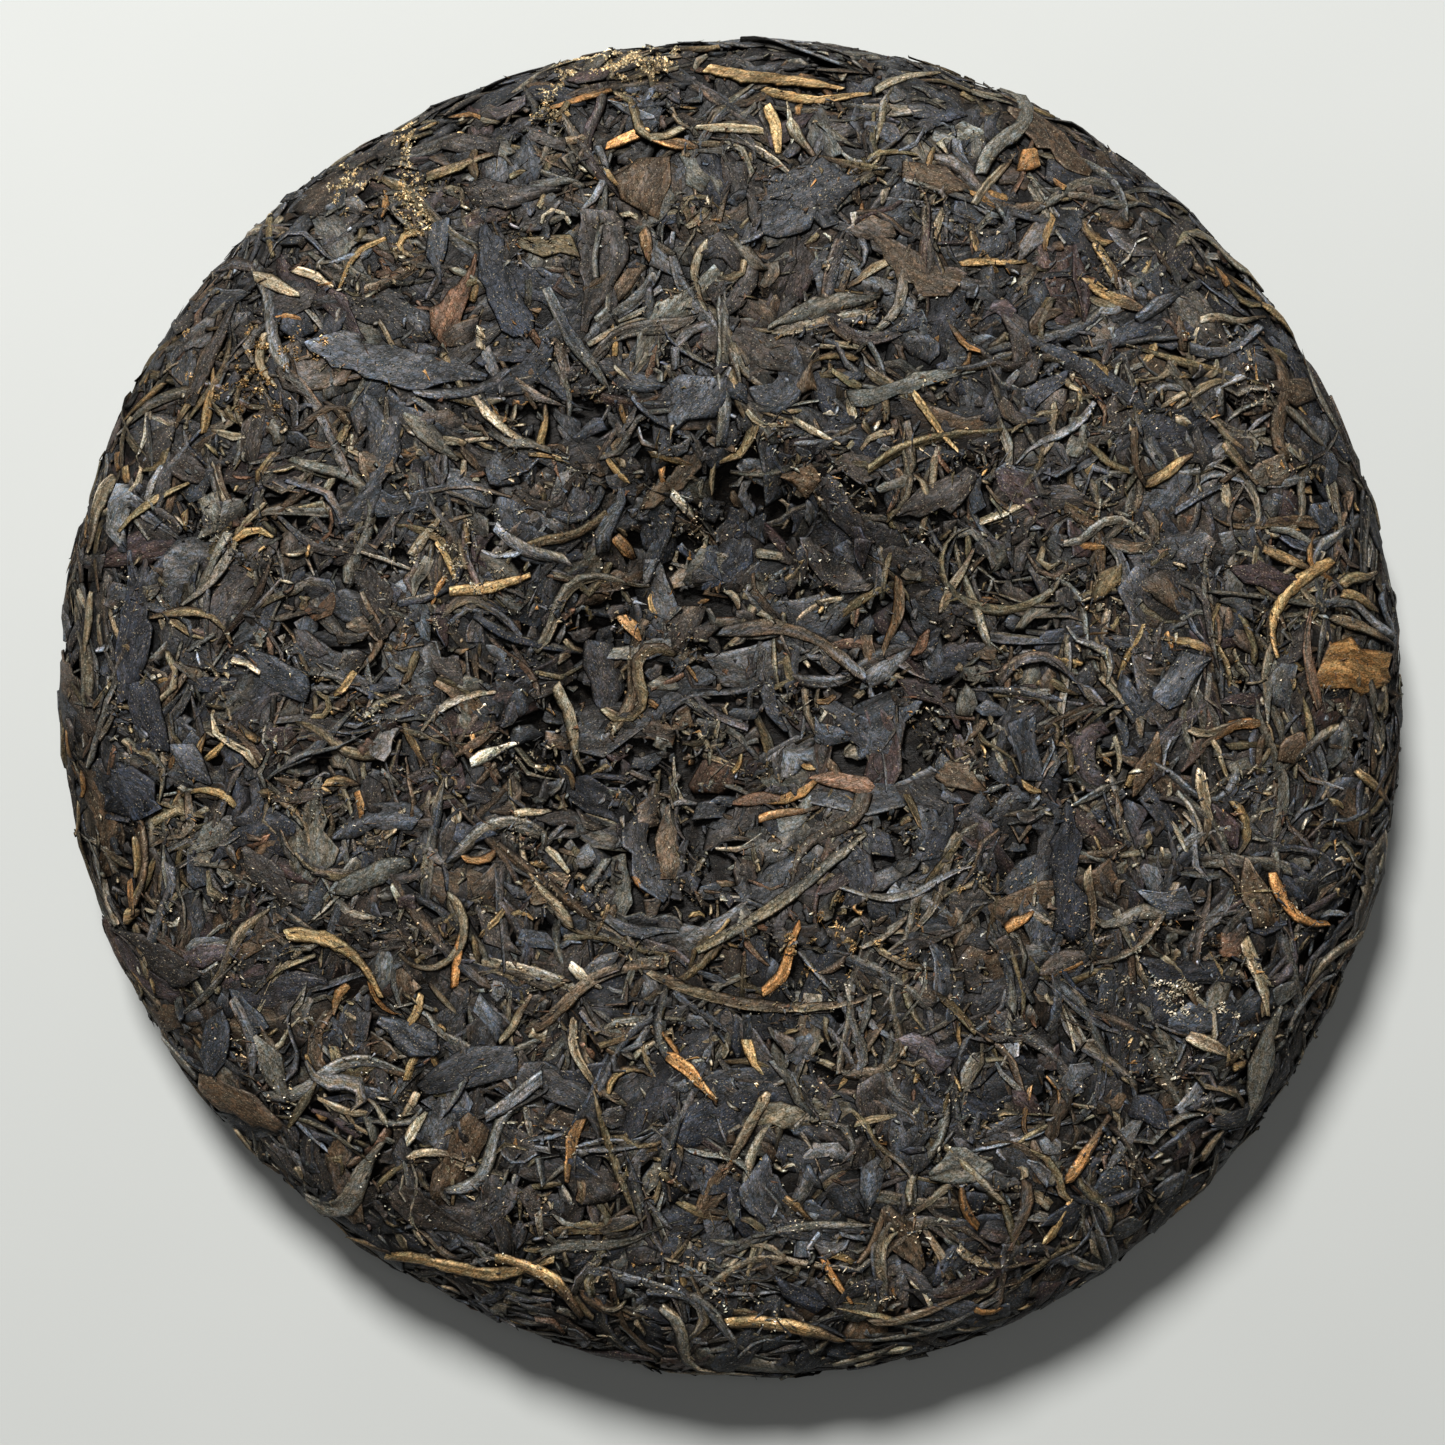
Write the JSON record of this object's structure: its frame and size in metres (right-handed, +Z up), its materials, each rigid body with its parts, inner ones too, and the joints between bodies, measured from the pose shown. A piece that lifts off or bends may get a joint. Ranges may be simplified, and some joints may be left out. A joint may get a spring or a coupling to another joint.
{
  "type": "raw pu-erh tea cake",
  "caption": "Round disc of pressed raw pu-erh tea: whole leaves, stems and golden buds, with the cloth-knot hollow in its back and a flat spot to lie on.",
  "frame": {"origin": "on the surface that the cake rests on, under the middle of its box", "axes": "+Z up out of the hollowed back, +Y to the top of the picture, +X to its right"},
  "size_m": [0.1963, 0.1947, 0.0252],
  "materials": {
    "pressed_tea": "matte, dry pressed tea leaves, charcoal to brown-black with olive and golden stems and buds"
  },
  "bodies": {
    "root": {"tea_cake": "pressed_tea"}
  },
  "joints": []
}
